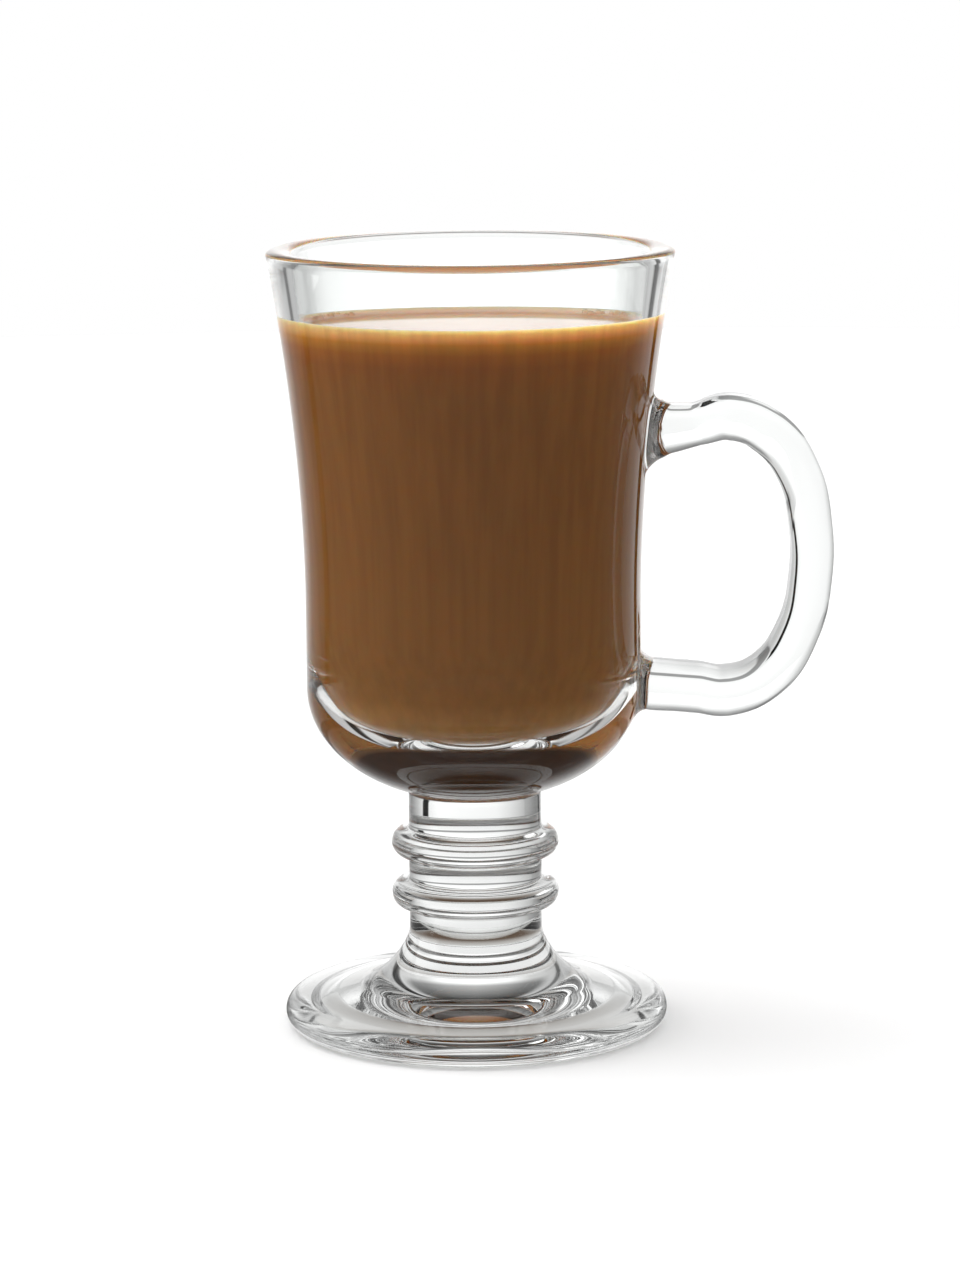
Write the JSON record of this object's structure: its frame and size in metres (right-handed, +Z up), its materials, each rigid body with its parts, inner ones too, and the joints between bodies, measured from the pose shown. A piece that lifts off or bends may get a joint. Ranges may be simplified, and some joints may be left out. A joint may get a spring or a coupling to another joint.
{
  "type": "hot cocoa in a footed glass mug",
  "caption": "Footed clear glass mug with a looped handle and a ringed stem, filled with milky brown hot cocoa to just below the rim.",
  "frame": {"origin": "middle of the bottom of the whole mug, on the surface it stands on", "axes": "+Z up through the rim, +X towards the handle, +Y away from the viewer of the handle's side"},
  "size_m": [0.1043, 0.0752, 0.1459],
  "materials": {
    "clear_glass": "clear pressed glass, smooth and glossy, refractive index about 1.52",
    "cocoa": "opaque milky brown drink with a smooth wet surface, lighter tan at the top edge"
  },
  "bodies": {
    "root": {"glass": "clear_glass", "cocoa": "cocoa"}
  },
  "joints": []
}
